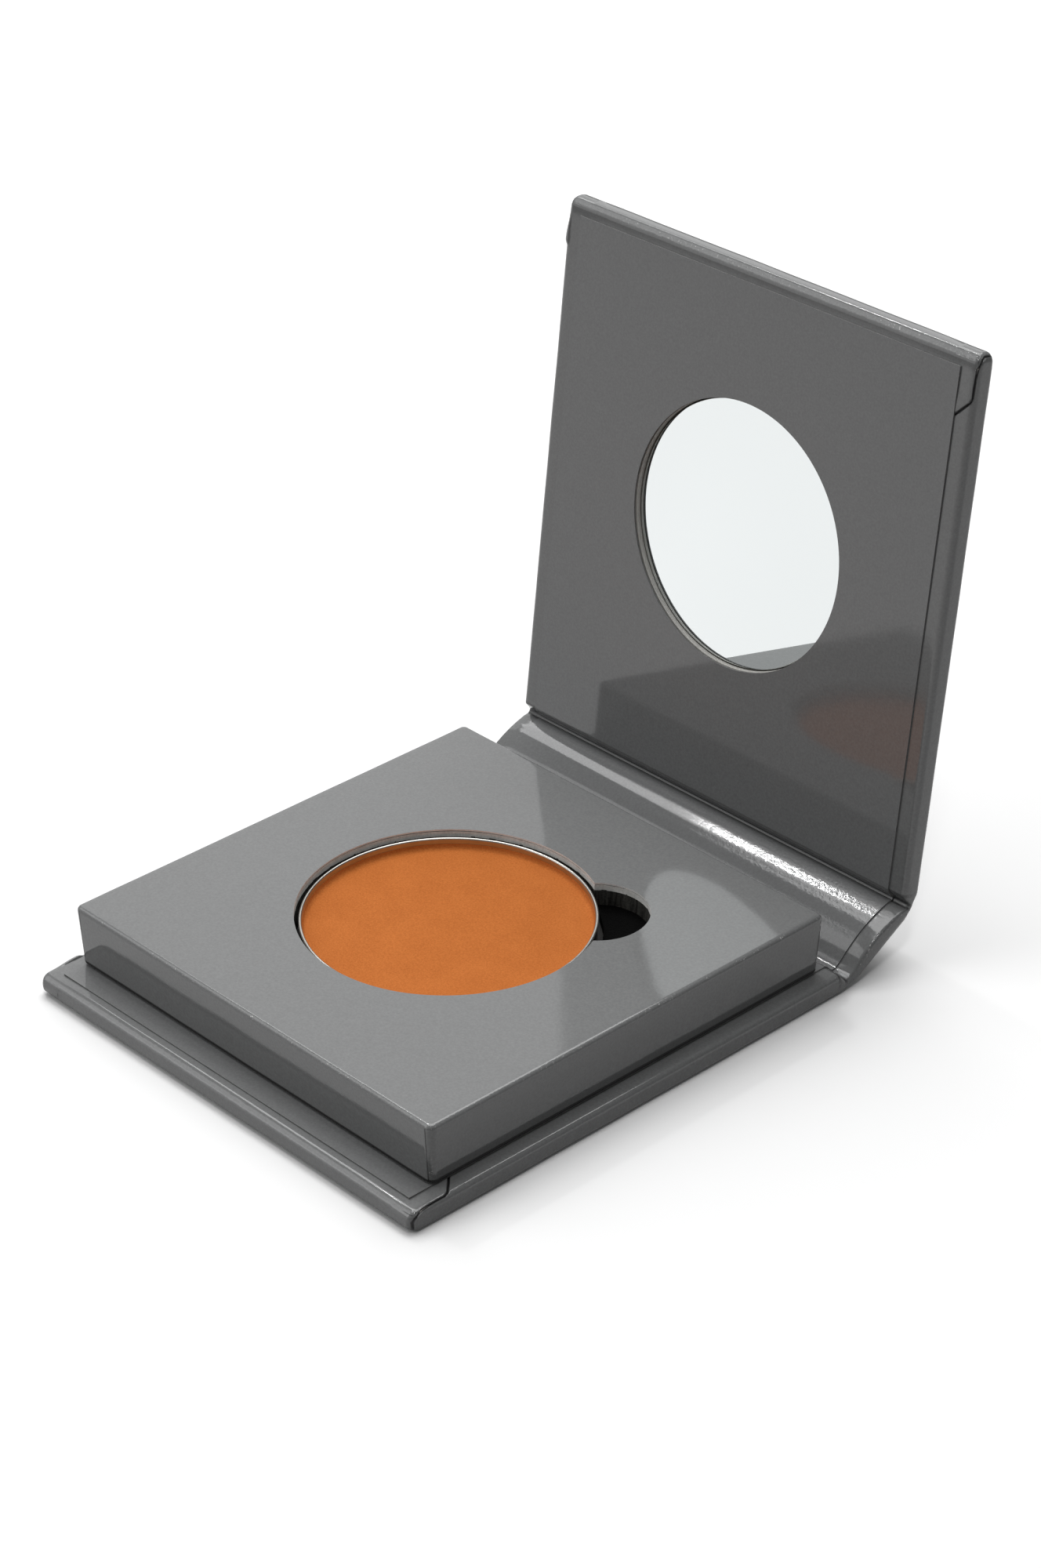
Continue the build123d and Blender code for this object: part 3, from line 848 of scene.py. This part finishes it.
# ---------------------------------------------------------------------------
# Magnets: flexible magnetic sheet under the pan, and nickel discs that hold
# the lid shut, two in the foam and two in the lid's inner board.
# ---------------------------------------------------------------------------
rubber_finish, shader, where = new_finish("magnetic_rubber", Roughness=0.6)
filler = where.grain(0.5 * mm, 3) + 0.5
feed(shader, Base_Color=filler.shade((0.006, 0.006, 0.006), (0.022, 0.02, 0.018)),
     Normal=relief(where.grain(0.15 * mm, 2) * 0.02))
frame["nodes"]["magnet_sheet"].material_slots[0].material = rubber_finish
nickel_finish, shader, where = new_finish("nickel_plate", Metallic=1.0)
plating = where.grain(2 * mm, 2) + 0.5
feed(shader, Base_Color=plating.shade((0.56, 0.54, 0.5), (0.68, 0.66, 0.62)),
     Roughness=where.grain(0.8 * mm, 3) * 0.12 + 0.22)
for name in ("tray_magnet_left", "tray_magnet_right", "lid_magnet_left", "lid_magnet_right"):
    frame["nodes"][name].material_slots[0].material = nickel_finish

# ---------------------------------------------------------------------------
# Pan: pressed tinplate with a rolled rim, bright and finely turned.
# ---------------------------------------------------------------------------
low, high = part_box("pan")
pan_foot, pan_top = low.z, high.z
pan_r = 18.25 * mm
pan_inner = 17.82 * mm
pan_wall = 0.25 * mm
bead = 0.5 * mm
tin_finish, shader, where = new_finish("tinplate", Metallic=1.0)
on_axis = where.node("ShaderNodeMapping", {
    "Vector": where, "Location": (0, -tray_centre.y, 0), "Scale": (1, 1, 0)})
turned = where.node("ShaderNodeVectorMath", {0: on_axis}, output=1, operation="LENGTH")
lathe = turned.node("ShaderNodeTexNoise", {"W": turned, "Scale": 1 / (0.08 * mm), "Detail": 3},
                    noise_dimensions="1D")
plating = where.grain(1.5 * mm, 3) + 0.5
feed(shader, Base_Color=plating.shade((0.36, 0.35, 0.33), (0.52, 0.51, 0.48)),
     Roughness=where.grain(0.7 * mm, 3) * 0.14 + 0.33, Normal=relief(lathe * 0.006))


def turn_on_axis(profile, rounds, axis, count=192):
    """Spins a profile of (radius, height) points about an upright axis."""
    bm = bmesh.new()
    ring = [bm.verts.new((axis.x + r, axis.y, z)) for r, z in profile]
    edges = [bm.edges.new(pair) for pair in zip(ring, ring[1:])]
    bmesh.ops.spin(bm, geom=ring + edges, cent=(axis.x, axis.y, 0), axis=(0, 0, 1),
                   angle=2 * math.pi, steps=count, use_merge=True)
    bmesh.ops.remove_doubles(bm, verts=bm.verts, dist=tiny)
    bmesh.ops.recalc_face_normals(bm, faces=bm.faces)
    for level, radius, offset in rounds:
        edge = [e for e in bm.edges if all(
            abs(v.co.z - level) < tiny and abs((v.co - axis).to_2d().length - radius) < 0.01 * mm
            for v in e.verts)]
        bmesh.ops.bevel(bm, geom=edge, offset=offset, segments=4, profile=0.5,
                        affect="EDGES", material=-1)
    return bm


skirt = pan_inner + pan_wall
pan_profile = [(0, pan_foot), (skirt, pan_foot), (skirt, pan_top - bead),
               (pan_r, pan_top - bead), (pan_r, pan_top), (pan_inner, pan_top),
               (pan_inner, pan_foot + pan_wall), (0, pan_foot + pan_wall)]
pan = make_piece("refill_pan", turn_on_axis(
    pan_profile, [(pan_foot, skirt, 0.28 * mm), (pan_top - bead, pan_r, 0.18 * mm),
                  (pan_top, pan_r, 0.22 * mm), (pan_top, pan_inner, 0.22 * mm)], tray_centre),
    [tin_finish], "pan", sharp=50)
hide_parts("pan")

# ---------------------------------------------------------------------------
# Powder: pressed into the pan. Its face is matte and finely granular, a
# little hollow, with a soft crumbled edge against the metal.
# ---------------------------------------------------------------------------
powder_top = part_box("powder")[1].z
powder_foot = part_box("powder")[0].z
powder_finish, shader, where = new_finish("pressed_powder", Specular_IOR_Level=0.15)
crumbs = where.grain(0.24 * mm, 4, 0.75)
press = where.grain(5 * mm, 3)
cake = crumbs * 1.5 + press * 0.35 + 0.5
feed(shader, Base_Color=cake.shade((0.33, 0.085, 0.013), (0.60, 0.19, 0.045)),
     Roughness=crumbs * 0.1 + 0.93, Normal=relief(crumbs * 0.06 + press * 0.02))
rise = powder_top + 0.62 * mm      # dust on the pan's wall reaches this high
crumbled_edge = [(pan_inner - inset * mm, powder_top + up * mm) for inset, up in (
    (0.13, 0.3), (0.3, 0.12), (0.6, 0.04), (1.6, -0.01))]
powder_profile = [(0, powder_foot), (pan_inner, powder_foot), (pan_inner, rise),
                  (pan_inner - 0.05 * mm, rise), *crumbled_edge,
                  (pan_inner * 0.55, powder_top - 0.05 * mm), (0, powder_top - 0.06 * mm)]
powder = turn_on_axis(powder_profile, [], tray_centre, 160)
powder_cake = make_piece("pressed_powder", powder, [powder_finish], "pan", sharp=50)
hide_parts("powder")

# ---------------------------------------------------------------------------
# Floor, light and camera: a plain white table that fades into a white room,
# a large soft overhead light, three white cards round the case, and two
# small lamps that pick out the folds.
# ---------------------------------------------------------------------------
floor_finish, shader, where = new_finish("white_table", Roughness=0.9, Specular_IOR_Level=0.1)
away = where.node("ShaderNodeVectorMath", {0: where}, output=1, operation="LENGTH")
paint = where.grain(400 * mm, 2) + 0.5
feed(shader, Base_Color=paint.shade((0.84, 0.84, 0.84), (0.87, 0.87, 0.87)),
     Alpha=1 - away.between(0.3, 0.75))
bm = bmesh.new()
bmesh.ops.create_grid(bm, x_segments=8, y_segments=8, size=4)
bmesh.ops.translate(bm, vec=(0, 0, -0.03 * mm), verts=bm.verts)
floor_mesh = bpy.data.meshes.new("table")
bm.to_mesh(floor_mesh)
bm.free()
floor_mesh.materials.append(floor_finish)
floor = bpy.data.objects.new("table", floor_mesh)
floor.visible_diffuse = False
bpy.context.scene.collection.objects.link(floor)


def lamp(name, way, distance, size, radiance):
    """Rectangular light of a given brightness, `distance` off along `way`, facing the case."""
    light = bpy.data.lights.new(name, "AREA")
    light.shape, light.size, light.size_y = "RECTANGLE", *size
    light.energy = math.pi * size[0] * size[1] * radiance
    made = bpy.data.objects.new(name, light)
    way = Vector(way).normalized()
    made.location = Vector((0, 0.01, 0.01)) + way * distance
    made.rotation_euler = way.to_track_quat("Z", "Y").to_euler()
    made.visible_camera = False
    bpy.context.scene.collection.objects.link(made)


lamp("overhead", (-0.25, 0.28, 1.0), 1.3, (1.2, 1.0), 4.25)
lamp("back_card", (-0.63, 0.59, 0.51), 1.6, (1.7, 1.1), 1.0)
lamp("front_card", (-0.55, -0.75, 0.36), 1.6, (1.7, 1.0), 0.75)
lamp("high_card", (-0.57, -0.49, 0.65), 1.5, (1.0, 0.7), 1.75)
lamp("left_lamp", (-0.56, 0.142, 0.816), 1.19, (0.07, 0.04), 90)
lamp("front_lamp", (0.32, -0.23, 0.92), 1.2, (0.12, 0.12), 42)
world = bpy.data.worlds.new("studio")
world.use_nodes = True
backdrop = world.node_tree.nodes["Background"]
room = world.node_tree
seen = Flow(room, room.nodes.new("ShaderNodeLightPath").outputs["Is Camera Ray"])
room.links.new(seen.shade((0.15, 0.15, 0.15), (1, 1, 1)).socket, backdrop.inputs["Color"])
bpy.context.scene.world = world

azimuth, elevation, roll = (math.radians(a) for a in (46.82, 30.56, -0.29))
camera_data = bpy.data.cameras.new("camera")
camera_data.sensor_width, camera_data.lens = 36, 89.9
camera_data.clip_start, camera_data.clip_end = 0.02, 20
camera = bpy.data.objects.new("camera", camera_data)
camera.matrix_world = (
    Matrix.Translation((0.29810, -0.26618, 0.26562)) @ Matrix.Rotation(azimuth, 4, "Z")
    @ Matrix.Rotation(math.pi / 2 - elevation, 4, "X") @ Matrix.Rotation(roll, 4, "Z"))
bpy.context.scene.collection.objects.link(camera)
bpy.context.scene.camera = camera
bpy.context.scene.view_settings.view_transform = "Standard"
